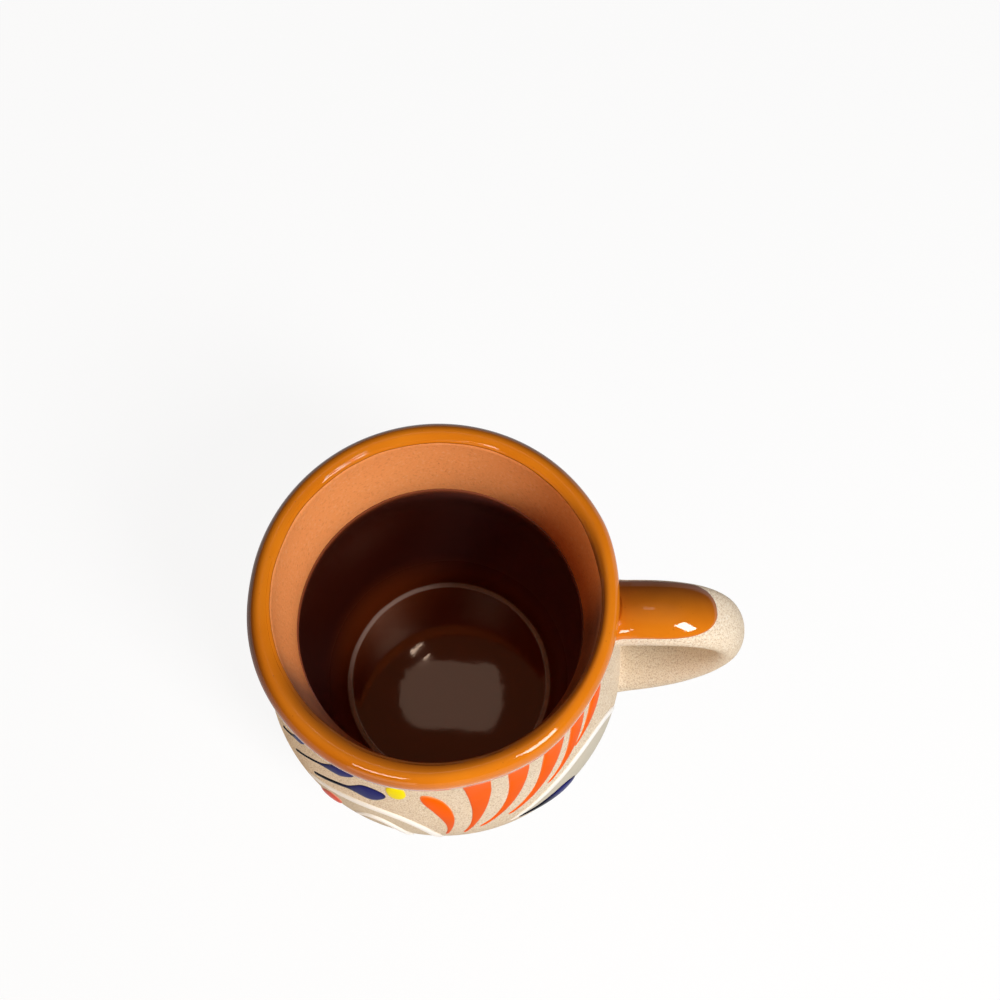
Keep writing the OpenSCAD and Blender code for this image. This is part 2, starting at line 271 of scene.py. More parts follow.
def wall_stretches(foot, belly, neck, lip):
    """Each stretch of a wall: bottom, top, radius and slope at its bottom, radius at its top."""
    return (
        (0, BELLY_Z, foot, FOOT_LEAN * BELLY_Z, belly),
        (BELLY_Z, NECK_Z, belly, 0, neck),
        (NECK_Z, LIP_Z, neck, 0, lip),
    )


WALL_STRETCHES = wall_stretches(FOOT_R, BELLY_R, NECK_R, LIP_R)
INNER_STRETCHES = wall_stretches(
    FOOT_R - FOOT_T, BELLY_R - BELLY_T, NECK_R - NECK_T, LIP_R - LIP_T
)


def by_stretch(z, values):
    low = z < BELLY_Z
    high = z > NECK_Z
    return low * values[0] + (1 - low - high) * values[1] + high * values[2]


def wall_radius(z, stretches=WALL_STRETCHES):
    return by_stretch(z, [
        hermite((z - bottom) / (top - bottom), start, slope, end, 0)
        for bottom, top, start, slope, end in stretches
    ])


def wall_lean(z, stretches=WALL_STRETCHES):
    return by_stretch(z, [
        hermite_slope((z - bottom) / (top - bottom), start, slope, end, 0) / (top - bottom)
        for bottom, top, start, slope, end in stretches
    ])


def bezier(points, u):
    rest = 1 - u
    weights = (rest * rest * rest, 3 * u * rest * rest, 3 * u * u * rest, u * u * u)
    return [sum_of(weight * point[i] for weight, point in zip(weights, points)) for i in (0, 1)]


def bezier_slope(points, u):
    rest = 1 - u
    weights = (3 * rest * rest, 6 * u * rest, 3 * u * u)
    steps = [[b[i] - a[i] for i in (0, 1)] for a, b in zip(points, points[1:])]
    return [sum_of(weight * step[i] for weight, step in zip(weights, steps)) for i in (0, 1)]


def sum_of(terms):
    terms = list(terms)
    total = terms[0]
    for term in terms[1:]:
        total = total + term
    return total


# Outlines that are turned on the wheel, each a list of radius and height


def wall_line(low, high, step, stretches=WALL_STRETCHES):
    count = max(2, round((high - low) / step))
    heights = [low + (high - low) * i / count for i in range(count + 1)]
    return [(wall_radius(z, stretches), z) for z in heights]


def lip_line(end_angle, steps):
    turns = [end_angle * i / steps for i in range(1, steps + 1)]
    return [
        (LIP_MID_R + LIP_T / 2 * math.cos(turn), LIP_Z + LIP_ROUND_H * math.sin(turn))
        for turn in turns
    ]


def foot_line(steps=8):
    reach = wall_radius(FOOT_ROUND) - FOOT_R
    turns = [math.pi / 2 * i / steps for i in range(steps)]
    return [
        (
            FOOT_R - FOOT_ROUND + FOOT_ROUND * math.sin(turn) + reach * (1 - math.cos(turn)),
            FOOT_ROUND * (1 - math.cos(turn)),
        )
        for turn in turns
    ]


def inside_line(top, flat_steps=16, corner_steps=28):
    corner_top_r = wall_radius(CORNER_TOP_Z, INNER_STRETCHES)
    hold = CORNER_H * CORNER_FULL
    corner = (
        (FLOOR_R, FLOOR_T),
        (FLOOR_R + (corner_top_r - FLOOR_R) * CORNER_FULL, FLOOR_T),
        (corner_top_r - wall_lean(CORNER_TOP_Z, INNER_STRETCHES) * hold, CORNER_TOP_Z - hold),
        (corner_top_r, CORNER_TOP_Z),
    )
    flat = [(FLOOR_R * i / flat_steps, FLOOR_T) for i in range(flat_steps)]
    bend = [tuple(bezier(corner, i / corner_steps)) for i in range(corner_steps)]
    side = wall_line(CORNER_TOP_Z, top, INSIDE_STEP, INNER_STRETCHES)
    return flat + bend + side


def beside(line, distances):
    """A line moved sideways, each of its points by its own distance."""
    moved = []
    for i, (r, z) in enumerate(line):
        r_before, z_before = line[max(i - 1, 0)]
        r_after, z_after = line[min(i + 1, len(line) - 1)]
        length = math.hypot(r_after - r_before, z_after - z_before)
        side_r = (z_after - z_before) / length
        side_z = (r_before - r_after) / length
        moved.append((r + side_r * distances[i], z + side_z * distances[i]))
    return moved


def way_along(line):
    ways = [0.0]
    for (r, z), (r_next, z_next) in zip(line, line[1:]):
        ways.append(ways[-1] + math.hypot(r_next - r, z_next - z))
    return ways


def bead(way, reach, roll):
    """Height of a coat's rounded edge, with the roll that wet glaze gathers along it."""
    if reach == 0:
        return 1.0
    share = min(way / reach, 1.0)
    glaze_roll_and_ring_highlight = roll * math.exp(-((way / reach - 1.2) ** 2))
    return math.sqrt(1 - (1 - share) ** 2) * (1 + glaze_roll_and_ring_highlight)


def coat_loop(line, under, over, low_reach, high_reach, roll=0.0):
    """A coat on a line: a loop of points, each one's way to the coat's edge and along the line."""
    ways = way_along(line)
    tops = [
        under + (over - under) * bead(way, low_reach, roll) * bead(ways[-1] - way, high_reach, roll)
        for way in ways
    ]
    edges = [
        min(way if low_reach else 1.0, ways[-1] - way if high_reach else 1.0) for way in ways
    ]
    loop = beside(line, [under] * len(line)) + beside(line, tops)[::-1]
    return loop, edges + edges[::-1], ways + ways[::-1]


# Forms, each a tree of nodes that shapes a piece from a few points


def new_form(name, *sizes):
    """A form with its inputs, and the net that it bends: mesh, and each point's row and turn."""
    kinds = {"Points": "Geometry", "Rows": "Int", "Sides": "Int", "Finish": "Material"}
    kinds.update((size, "Float") for size in sizes)
    tree = bpy.data.node_groups.new(name, "GeometryNodeTree")
    for size, kind in kinds.items():
        tree.interface.new_socket(size, in_out="INPUT", socket_type="NodeSocket" + kind)
    tree.interface.new_socket("Piece", in_out="OUTPUT", socket_type="NodeSocketGeometry")
    form = Graph(tree)
    given = form.add("NodeGroupInput")
    return form, given, *net(form, given["Rows"], given["Sides"])


def end_form(form, given, piece):
    weld = {"Geometry": piece, "Distance": WELD_REACH}
    piece = form.add("GeometryNodeMergeByDistance", None, weld)
    piece = form.add("GeometryNodeSetShadeSmooth", None, {"Geometry": piece})
    piece = form.add("GeometryNodeRealizeInstances", None, {"Geometry": piece})
    coat = {"Geometry": piece, "Material": given["Finish"]}
    piece = form.add("GeometryNodeSetMaterial", None, coat)
    form.add("NodeGroupOutput", None, {"Piece": piece})
    return form.tree


def net(form, rows, sides):
    """A flat net of rows and sides, with each point's row and its turn round the section."""
    columns = sides + 1
    mesh = form.add("GeometryNodeMeshGrid", None, {"Vertices X": rows, "Vertices Y": columns})
    index = form.add("GeometryNodeInputIndex")
    row = form.math("FLOOR", (index + 0.5) / columns)
    turn = (index - row * columns) / sides * (2 * math.pi)
    return mesh, row, turn


def kept(form, name):
    """A number that is stored on each point."""
    return form.add("GeometryNodeInputNamedAttribute", {"data_type": "FLOAT"}, {"Name": name})


def read_at(form, points, row, name=None):
    """A point's place, or its own number of that name, at a row."""
    if name is None:
        value = form.add("GeometryNodeInputPosition")
        kind = "FLOAT_VECTOR"
    else:
        value = kept(form, name)
        kind = "FLOAT"
    sockets = {"Geometry": points, "Value": value, "Index": row}
    return form.add("GeometryNodeSampleIndex", {"data_type": kind}, sockets)


def split(form, vector):
    parts = form.add("ShaderNodeSeparateXYZ", None, {0: vector})
    return parts["X"], parts["Y"], parts["Z"]


def keep(form, piece, name, value):
    """Stores a number on each point of the piece, for its finish or for a later node."""
    sockets = {"Geometry": piece, "Name": name, "Value": value}
    return form.add("GeometryNodeStoreNamedAttribute", {"data_type": "FLOAT"}, sockets)


def move_to(form, piece, place):
    return form.add("GeometryNodeSetPosition", None, {"Geometry": piece, "Position": place})


def hand_wander(form, wander, across, deep, z, r=LIP_R):
    """How far the wall leans in from a true round, with the rim thickened and thinned by hand."""
    place = form.vector(across * BELLY_R, deep * BELLY_R, z + HAND_SEED)
    rim = form.ease(z, NECK_Z, LIP_Z) * form.ease(r, LIP_R - LIP_T, LIP_R - LIP_T / 3)

    def towards(angle, start):
        return form.ease(across * math.cos(angle) + deep * math.sin(angle), start, 1.0)

    pushed_in = RIM_PUSHED_IN * towards(RIM_PUSHED_IN_ANGLE, 0.75)
    pushed_out = RIM_PUSHED_OUT * towards(RIM_PUSHED_OUT_ANGLE, 0.55)
    return wander * form.noise(place, 26.0, 1.0) + rim * (pushed_in - pushed_out)


def lip_inside(form, z):
    """Radius of the inside of the wall, and of the inner half of the lip's round above it."""
    over = form.math("MAXIMUM", (z - LIP_Z) / LIP_ROUND_H, 0.0)
    full = form.math("SQRT", form.math("MAXIMUM", 1 - over * over, 0.0))
    wall = wall_radius(form.math("MINIMUM", z, LIP_Z), INNER_STRETCHES)
    return wall + LIP_T / 2 * (1 - full)


def turned_form():
    """Rows of points are a section's radius and height; its free edge may ripple."""
    form, given, mesh, row, turn = new_form("turned_on_the_wheel", "Wander", "Ripple")
    r, _, z = split(form, read_at(form, given["Points"], row))
    edge = read_at(form, given["Points"], row, "edge")
    loose = read_at(form, given["Points"], row, "loose")
    way = read_at(form, given["Points"], row, "way")
    across = form.math("COSINE", turn)
    deep = form.math("SINE", turn)
    ripple = form.noise(form.vector(across, deep, HAND_SEED), 1.7, 2.0) - 0.5
    drop = loose * given["Ripple"] * ripple
    lean_in = hand_wander(form, given["Wander"], across, deep, z, r) * form.ease(r, 0.0, FLOOR_R)
    radius = r - lean_in + lip_inside(form, z + drop) - lip_inside(form, z)
    piece = move_to(form, mesh, form.vector(radius * across, radius * deep, z + drop))
    piece = keep(form, piece, "way", way)
    return end_form(form, given, keep(form, piece, "edge", edge))


def strap_width(u):
    near = u < 0.5
    return (
        near * hermite(2 * u, STRAP_UPPER_W, 0, STRAP_BEND_W, 0)
        + (1 - near) * hermite(2 * u - 1, STRAP_BEND_W, 0, STRAP_LOWER_W, 0)
    )


def strap_ways():
    upper = Vector((math.cos(UPPER_ANGLE), math.sin(UPPER_ANGLE)))
    lower = Vector((math.cos(LOWER_ANGLE), math.sin(LOWER_ANGLE)))
    start = Vector((wall_radius(UPPER_Z), UPPER_Z)) + upper * UPPER_JOINT_LEN
    end = Vector((wall_radius(LOWER_Z), LOWER_Z)) + lower * LOWER_JOINT_LEN
    return start, start + upper * UPPER_PULL, end + lower * LOWER_PULL, end


STRAP_CURVE = strap_ways()


def strap_place(form, u, turn, grow, scale=1):
    """A point on the strap's hand-pressed oval, grown by a coat or drawn in to the middle."""
    side = form.math("COSINE", turn)
    top = form.math("SINE", turn)
    finger = form.vector(side, top, u * 9)
    grow = grow - STRAP_PRESSED * form.noise(finger, 0.9, 1.0)
    x, z = bezier(STRAP_CURVE, u)
    way_x, way_z = bezier_slope(STRAP_CURVE, u)
    length = form.math("SQRT", way_x * way_x + way_z * way_z)
    out = (STRAP_T / 2 + grow) * top * scale / length
    across = (strap_width(u) / 2 + grow) * side * scale
    return x - way_z * out, across, z + way_x * out


def strap_form():
    """Rows of points are share of the strap's length, growth and closing of the section."""
    form, given, mesh, row, turn = new_form("pulled_strap")
    u, grow, scale = split(form, read_at(form, given["Points"], row))
    place = form.vector(*strap_place(form, u, turn, grow, scale))
    return end_form(form, given, move_to(form, mesh, place))


def tongue_form():
    """Rows of points are share of the strap's length and spread round its front and its back."""
    form, given, mesh, row, turn = new_form("glaze_tongue", "Thick")
    u, front, rear = split(form, read_at(form, given["Points"], row))
    height = read_at(form, given["Points"], row, "height")
    across = form.math("COSINE", turn)
    at_front = across > 0.0
    spread = at_front * front + (1 - at_front) * rear
    up = form.math("SINE", turn)
    over = form.math("MAXIMUM", up, 0.0)
    under = form.math("MINIMUM", up, 0.0)
    cover = over ** 0.45 * height
    grow = SLIP_T + given["Thick"] * cover + under * SLIP_T * 0.5 * height
    angle = math.pi / 2 + across * spread * TONGUE_ANGLE
    piece = move_to(form, mesh, form.vector(*strap_place(form, u, angle, grow)))
    return end_form(form, given, keep(form, piece, "cover", cover))


def joint_form():
    """Rows of points are way from wall to strap and under its coat, size of foot and of end."""
    form, given, mesh, row, turn = new_form(
        "slip_joint", "StrapShare", "MiddleZ", "Way", "HalfWide", "HalfHigh", "Slope", "CrownGlaze"
    )
    way, foot, end = split(form, read_at(form, given["Points"], row))
    share = form.math("MINIMUM", way, 1.0)
    under = form.math("MAXIMUM", way - 1, 0.0)
    foot_y = given["HalfWide"] * foot * form.math("COSINE", turn)
    foot_z = given["MiddleZ"] + given["Way"] * given["HalfHigh"] * foot * form.math("SINE", turn)
    foot_r = wall_radius(foot_z) - JOINT_SUNK
    foot_x = form.math("SQRT", foot_r * foot_r - foot_y * foot_y)
    crown = form.ease(form.math("SINE", turn), 0.42, 0.62)
    end_grow = SLIP_T + given["CrownGlaze"] * crown - JOINT_SUNK * under / JOINT_UNDER
    end_share = given["StrapShare"] + given["Way"] * under
    end_x, end_y, end_z = strap_place(form, end_share, turn, end_grow, end)
    flare = (1 - share) ** JOINT_FLARE
    back = (end_x - foot_x) * given["Slope"]
    place = form.vector(
        foot_x + (end_x - foot_x) * share,
        end_y + (foot_y - end_y) * flare,
        end_z - back * (1 - share) + (foot_z - end_z + back) * flare,
    )
    return end_form(form, given, move_to(form, mesh, place))


def strokes_form():
    """Each point is one stroke: the form lays a trail of glaze along its path on the wall."""
    form, given, mesh, row, turn = new_form(
        "trailed_strokes", "TailRound", "HeadRound", "TailShare", "SwellEnd", "Rise", "Shake",
        "Wander",
    )
    along = (1 - form.math("COSINE", row / (given["Rows"] - 1) * math.pi)) / 2
    mesh = keep(form, mesh, "along", along)
    mesh = keep(form, mesh, "turn", turn)
    points = keep(form, given["Points"], "stroke", form.add("GeometryNodeInputIndex"))
    laid = form.add("GeometryNodeInstanceOnPoints", None, {"Points": points, "Instance": mesh})
    laid = form.add("GeometryNodeRealizeInstances", None, {"Geometry": laid})
    stroke = kept(form, "stroke")
    along = kept(form, "along")
    turn = kept(form, "turn")
    path = [
        (read_at(form, points, stroke, f"angle_{i}"), read_at(form, points, stroke, f"height_{i}"))
        for i in range(4)
    ]
    width = read_at(form, points, stroke, "width")
    slim = read_at(form, points, stroke, "slim")
    angle, z = bezier(path, along)
    way_angle, way_z = bezier_slope(path, along)
    radius = wall_radius(z)
    run = way_angle * radius
    length = form.math("SQRT", run * run + way_z * way_z)

    def end_round(way, reach):
        missing = 1 - form.math("MINIMUM", way / reach, 1.0)
        return form.math("SQRT", 1 - missing * missing)

    ends = end_round(along, given["TailRound"]) * end_round(1 - along, given["HeadRound"])
    swell = form.ease(along, slim, given["SwellEnd"])
    body = given["TailShare"] + (1 - given["TailShare"]) * swell
    side = form.math("COSINE", turn) * 0.6
    shake = 1 + given["Shake"] * (form.noise(form.vector(stroke, along * 4, side), 1.0, 1.0) - 0.5)
    reach = form.math("COSINE", turn) * width / 2 * ends * body * shake / length
    up = form.math("SINE", turn)
    cover = form.math("MAXIMUM", up, 0.0) ** 0.75 * ends
    height = cover * given["Rise"] * (TAIL_RISE + (1 - TAIL_RISE) * body)
    height = height + form.math("MINIMUM", up, 0.0) * ends * STROKE_SUNK
    wall_z = z - run * reach
    wall_angle = angle + way_z * reach / radius
    across = form.math("COSINE", wall_angle)
    deep = form.math("SINE", wall_angle)
    lean = wall_lean(wall_z)
    off = (SLIP_T + height) / form.math("SQRT", 1 + lean * lean)
    out = wall_radius(wall_z) + off - hand_wander(form, given["Wander"], across, deep, wall_z)
    piece = move_to(form, laid, form.vector(out * across, out * deep, wall_z - lean * off))
    return end_form(form, given, keep(form, piece, "cover", cover))


# Pieces


def points_mesh(name, places, **numbers):
    """The points that a form is shaped from, each with its own numbers."""
    mesh = bpy.data.meshes.new(name)
    mesh.from_pydata(places, [], [])
    for number, values in numbers.items():
        mesh.attributes.new(number, "FLOAT", "POINT").data.foreach_set("value", values)
    return mesh


def face_outwards(mesh):
    shell = bmesh.new()
    shell.from_mesh(mesh)
    if shell.calc_volume(signed=True) < 0:
        bmesh.ops.reverse_faces(shell, faces=shell.faces[:])
    shell.to_mesh(mesh)
    shell.free()


def make_piece(name, node, slot, finish, form, points, **sizes):
    """Shapes points with a form and its sizes into a plain mesh that stands for a CAD node."""
    piece = bpy.data.objects.new(name, points)
    bpy.context.scene.collection.objects.link(piece)
    shaping = piece.modifiers.new("shaping", "NODES")
    shaping.node_group = form
    sizes["Finish"] = finish
    for item in form.interface.items_tree:
        if item.in_out == "INPUT" and item.name in sizes:
            shaping[item.identifier] = sizes[item.name]
    depsgraph = bpy.context.evaluated_depsgraph_get()
    shaped = bpy.data.meshes.new_from_object(
        piece.evaluated_get(depsgraph), preserve_all_data_layers=True, depsgraph=depsgraph
    )
    piece.modifiers.remove(shaping)
    piece.data = shaped
    shaped.name = name
    face_outwards(shaped)
    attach(piece, "root")
    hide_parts(node)


# Finishes

# Where they change: start and end of each soft step, in metres
NEAR_SIDE = (0.001, 0.014)
# where shade is painted on the inside of the neck
NECK_SHADE_INSIDE = (LIP_R - 0.0022, LIP_R - 0.0032)
NECK_SHADE_RISE = (0.05, 0.06)
# where shade is painted on the lip
FAR_RIM = (-0.015, 0.017)
FAR_SHADE = (LIP_CROWN_WAY + 0.0003, LIP_CROWN_WAY - 0.0018)
FAR_DULL = (LIP_CROWN_WAY - 0.0014, LIP_CROWN_WAY - 0.003)
LEFT_RIM = (0.018, 0.036)
LEFT_SHADE = (LIP_CROWN_WAY + 0.0004, LIP_CROWN_WAY - 0.002)
RIGHT_RIM = (-0.004, 0.022)
FRONT_RIM = (0.004, 0.022)
INNER_SHADE = (LIP_CROWN_WAY - 0.0006, LIP_CROWN_WAY + 0.0019)
LIP_EDGE_LINE = (0.0006, 0.0001)
# where shade is painted down the far side of the strap
STRAP_SHADE_SIDE = (-0.0055, 0.0072)
STRAP_DULL = (0.004, 0.006)
JOINT_GLAZED = (0.0021, 0.0025)
# where light is painted up the liner's shaded wall
LINER_FILL_SIDE = (-0.036, -0.008)
LINER_FILL_RISE = (0.0085, 0.0125)
LINER_FLOOR = (0.02, 0.009)
LINER_WORN = (0.0042, 0.0)
LINER_DULL = (0.002, 0.0003)
# the painted highlight ring on the liner's floor corner
RING_WIDE = (0.0008, 0.0003)
RING_RISE = (0.0115, 0.0095)
LEAF_SOFT = 0.0008

# How far their borders stray, and how deep their grain is, in metres
STRAP_STRAY = 0.0016
JOINT_STRAY = 0.0005
LINER_STRAY = 0.0016
RING_STRAY = 0.0006
SLIP_GRAIN = 0.00022
CLAY_GRIT = 0.00012
GLAZE_RIPPLE = 0.00003
LEAF_GRAIN = 0.00005
LINER_GRAIN = 0.000005
ENAMEL_GRAIN = 0.00006
MIXED_GRAIN = 0.0002


def tint(code):
    """A colour written as six hex digits, as Blender's linear values."""
    shares = [int(code[i:i + 2], 16) / 255 for i in (0, 2, 4)]
    return [s / 12.92 if s <= 0.04045 else ((s + 0.055) / 1.055) ** 2.4 for s in shares] + [1.0]


def sandy_slip(graph, place):
    """Rough sandy slip: beige ground with fine dark and pale grains, and a slow drift of tone."""
    drift = graph.noise(place, 45.0, 2.0)
    grain = graph.noise(place, 2500.0, 2.0, 0.6)
    dark = graph.ease(grain, 0.50, 0.33)
    pale = graph.ease(grain, 0.53, 0.68)
    ground = graph.blend(drift, tint("e9d7bc"), tint("f3e4cd"))
    colour = graph.blend(0.55 * dark, ground, tint("b29270"))
    colour = graph.blend(0.75 * pale, colour, tint("faf1e2"))
    return {"colour": colour, "rough": 0.84 + 0.12 * grain, "height": grain, "depth": SLIP_GRAIN}


def red_clay(graph, place):
    """Bare terracotta: fine grit with dark and pale grains, a few pits and a slow drift of tone."""
    drift = graph.noise(place, 60.0, 2.0)
    grit = graph.noise(place, 1300.0, 2.0, 0.6)
    pits = graph.ease(graph.cells(place, 420.0), 0.16, 0.05)
    ground = graph.blend(drift, tint("f69b5a"), tint("ffa661"))
    colour = graph.blend(graph.ease(grit, 0.46, 0.3) * 0.3, ground, tint("cf7a44"))
    colour = graph.blend(graph.ease(grit, 0.55, 0.72) * 0.4, colour, tint("ffbb88"))
    colour = graph.blend(pits * 0.15, colour, tint("a35a30"))
    return {
        "colour": colour, "rough": 0.86 + 0.1 * grit, "height": grit - pits * 0.8,
        "depth": CLAY_GRIT,
    }


def near_neck(graph, place):
    """1 on the near side of the mug, where shade is painted on the inside of the neck."""
    x, y, _ = split(graph, place)
    return graph.ease(0.3 * x - y, *NEAR_SIDE)


def body_clay(graph, place):
    """Bare terracotta, with dark grey-brown painted shade up the inside of the neck's near side."""
    x, y, z = split(graph, place)
    clay = red_clay(graph, place)
    inside = graph.ease(graph.math("SQRT", x * x + y * y), *NECK_SHADE_INSIDE)
    # painted shade: the inside of the neck on its near side, darkened to grey-brown
    neck_shade = near_neck(graph, place) * inside * graph.ease(z, *NECK_SHADE_RISE)
    neck_shade = neck_shade * (0.78 + 0.3 * (graph.noise(place, 140.0, 2.0) - 0.5))
    clay["colour"] = graph.blend(neck_shade, clay["colour"], tint("74574f"))
    return clay


def caramel_glaze(graph, place):
    """Clear amber glaze over red clay: slow mottling, small specks and an even shine."""
    drift = graph.noise(place, 70.0, 3.0)
    specks = graph.ease(graph.cells(place, 520.0), 0.10, 0.04)
    ground = graph.blend(drift, tint("d06f0c"), tint("e6871c"))
    colour = graph.blend(specks * 0.35, ground, tint("7c3a0c"))
    ripple = graph.noise(place, 180.0, 1.0)
    return {"colour": colour, "rough": 0.03 + 0.04 * drift, "height": ripple, "depth": GLAZE_RIPPLE}


def bare_graph(owner):
    """The empty node tree of a material or of the world."""
    owner.use_nodes = True
    owner.node_tree.nodes.clear()
    return Graph(owner.node_tree)


def dress(name, build, level, shine=(1, 1, 1, 1)):
    """A material from a finish's colour, roughness and height, and its shine's level and tint."""
    material = bpy.data.materials.new(name)
    graph = bare_graph(material)
    place = graph.add("ShaderNodeTexCoord", out="Object")
    finish = build(graph, place)
    normal = graph.add("ShaderNodeBump", None, {
        "Strength": 1.0, "Distance": finish["depth"], "Height": finish["height"],
    })
    shader = graph.add("ShaderNodeBsdfPrincipled", None, {
        "Base Color": finish["colour"], "Roughness": finish["rough"], "Normal": normal,
        "Specular IOR Level": level, "Specular Tint": shine,
    })
    graph.add("ShaderNodeOutputMaterial", None, {"Surface": shader})
    return material


def mixed(graph, share, first, second):
    """One finish where share is 0 and another where it is 1."""
    first_height = first["height"] * (first["depth"] / MIXED_GRAIN)
    second_height = second["height"] * (second["depth"] / MIXED_GRAIN)
    return {
        "colour": graph.blend(share, first["colour"], second["colour"]),
        "rough": first["rough"] * (1 - share) + second["rough"] * share,
        "height": first_height * (1 - share) + second_height * share,
        "depth": MIXED_GRAIN,
    }


def own_number(graph, name):
    """A number that the form stored on the piece."""
    return graph.add("ShaderNodeAttribute", {"attribute_name": name}, out="Fac")


def body_finish(graph, place):
    """Sandy slip, with the smoother grey leaves that lie under the white arches."""
    x, y, z = split(graph, place)
    turn = graph.math("WRAP", graph.math("ARCTAN2", y, x), 0.0, -math.pi)
    ramp = graph.add("ShaderNodeValToRGB", {"stops": leaf_stops()}, {"Fac": turn / math.pi + 1})
    edges = graph.add("ShaderNodeSeparateColor", None, {"Color": ramp})
    high = LEAF_LOW_Z + edges["Red"] * LEAF_SPAN
    low = LEAF_LOW_Z + edges["Green"] * LEAF_SPAN
    below = graph.ease(z, high, high - LEAF_SOFT)
    leaf = below * graph.ease(z, low, low + LEAF_SOFT) * edges["Blue"]
    sandy = sandy_slip(graph, place)
    cloud = graph.noise(place, 220.0, 3.0)
    smooth = {
        "colour": graph.blend(cloud, tint("cdc5b2"), tint("dad3c2")),
        "rough": 0.5 + 0.1 * cloud, "height": cloud, "depth": LEAF_GRAIN,
    }
    return mixed(graph, leaf, sandy, smooth)


def lip_finish(graph, place):
    """Caramel glaze with painted shade: brown down the far and left rim and inside the near one;
    red edges.
    """
    x, y, _ = split(graph, place)
    glaze = caramel_glaze(graph, place)
    way = own_number(graph, "way")
    far = graph.ease(0.8 * y - 0.6 * x, *FAR_RIM)
    far_rim_shade = graph.ease(way, *FAR_SHADE) * far
    right = graph.ease(0.75 * x - 0.65 * y, *RIGHT_RIM)
    front = graph.ease(0.2 * x - y, *FRONT_RIM)
    near = graph.math("MAXIMUM", right, front)
    inside = graph.ease(way, *INNER_SHADE) * near
    left = graph.ease(-0.8 * x - 0.6 * y, *LEFT_RIM) * graph.ease(way, *LEFT_SHADE)
    # painted shade: brown on the left rim, on the far rim's outer side and on the near rim's inner
    # side
    colour = graph.blend(0.5 * left, glaze["colour"], tint("7a3606"))
    colour = graph.blend(0.85 * far_rim_shade, colour, tint("3c1e0e"))
    colour = graph.blend(0.78 * inside, colour, tint("4a2212"))
    thin = graph.ease(own_number(graph, "edge"), *LIP_EDGE_LINE)
    glaze["colour"] = graph.blend(thin * 0.8, colour, tint("7a2c0a"))
    glaze["rough"] = glaze["rough"] + 0.5 * graph.ease(way, *FAR_DULL) * far
    return glaze


def handle_caramel(graph, place):
    """Caramel glaze with painted shade, brown down the far side of the handle."""
    _, y, _ = split(graph, place)
    glaze = caramel_glaze(graph, place)
    ragged = STRAP_STRAY * (graph.noise(place, 160.0, 2.0) - 0.5)
    strap_far_shade = graph.ease(y + ragged, *STRAP_SHADE_SIDE)
    # painted shade: brown towards the far side of the strap, away from the lamps
    glaze["colour"] = graph.blend(strap_far_shade * 0.88, glaze["colour"], tint("482214"))
    glaze["rough"] = glaze["rough"] + 0.5 * graph.ease(y, *STRAP_DULL)
    return glaze


def tongue_finish(graph, place):
    """Handle glaze with a dark line along the tongue's rounded edge."""
    glaze = handle_caramel(graph, place)
    thin = graph.ease(own_number(graph, "cover"), 0.75, 0.2)
    glaze["colour"] = graph.blend(thin * 0.7, glaze["colour"], tint("6e3510"))
    return glaze


def upper_joint_finish(graph, place):
    """Handle glaze over the top of the joint and sandy slip below it."""
    x, _, z = split(graph, place)
    height = z - UPPER_Z - (x - wall_radius(UPPER_Z)) * math.tan(UPPER_ANGLE)
    ragged = JOINT_STRAY * (graph.noise(place, 300.0, 2.0) - 0.5)
    glazed = graph.ease(height + ragged, *JOINT_GLAZED)
    return mixed(graph, glazed, sandy_slip(graph, place), handle_caramel(graph, place))


def liner_finish(graph, place):
    """Dark brown liner glaze: shiny on the floor, duller up the wall, painted lighter on its shaded
    side.
    """
    x, y, z = split(graph, place)
    drift = graph.noise(place, 55.0, 3.0)
    cloud = graph.noise(place, 240.0, 2.0)
    deep = graph.blend(drift, tint("36100a"), tint("411408"))
    # painted light: paler brown up the wall on the side that the lamps leave in shade
    painted_fill = graph.ease(0.74 * x - 0.67 * y, *LINER_FILL_SIDE) * graph.ease(z, *LINER_FILL_RISE)
    deep = graph.blend(painted_fill * 0.85, deep, tint("8f5048"))
    floor = graph.ease(z, *LINER_FLOOR)
    colour = graph.blend(floor * 0.8, deep, tint("8a3a12"))
    # painted highlight: a pale, duller ring round the corner of floor and wall
    radius = graph.math("SQRT", x * x + y * y)
    off_ring = abs(radius - FLOOR_RING_R + RING_STRAY * (drift - 0.5))
    glaze_roll_and_ring_highlight = graph.ease(off_ring, *RING_WIDE) * graph.ease(z, *RING_RISE)
    colour = graph.blend(glaze_roll_and_ring_highlight * 0.95, colour, tint("d8b8a8"))
    edge = own_number(graph, "edge") + LINER_STRAY * (cloud - 0.5)
    # the liner's top edge fades to clay colour; on the near side it takes the painted neck shade
    edge_tone_and_near_shade = graph.blend(near_neck(graph, place), tint("8a4522"), tint("6a4840"))
    colour = graph.blend(graph.ease(edge, *LINER_WORN) * 0.75, colour, edge_tone_and_near_shade)
    rough = 0.36 - 0.34 * floor + 0.45 * glaze_roll_and_ring_highlight + 0.02 * drift
    rough = rough + 0.4 * graph.ease(edge, *LINER_DULL)
    return {"colour": colour, "rough": rough, "height": cloud, "depth": LINER_GRAIN}


def enamel(head, tail, edge_colour):
    """Trailed glaze of one colour that runs thin at its edge, and darker or paler towards its tail.
    """
    def build(graph, place):
        cloud = graph.noise(place, 380.0, 2.0)
        along = graph.ease(own_number(graph, "along") + 0.2 * (cloud - 0.5), 0.35, 0.75)
        cover = own_number(graph, "cover")
        colour = graph.blend(along, tint(tail), tint(head))
        thin = graph.ease(cover + 0.15 * (cloud - 0.5), 0.6, 0.15)
        colour = graph.blend(thin * 0.75, colour, tint(edge_colour))
        rough = 0.26 + 0.1 * cloud
        return {"colour": colour, "rough": rough, "height": cloud, "depth": ENAMEL_GRAIN}
    return build


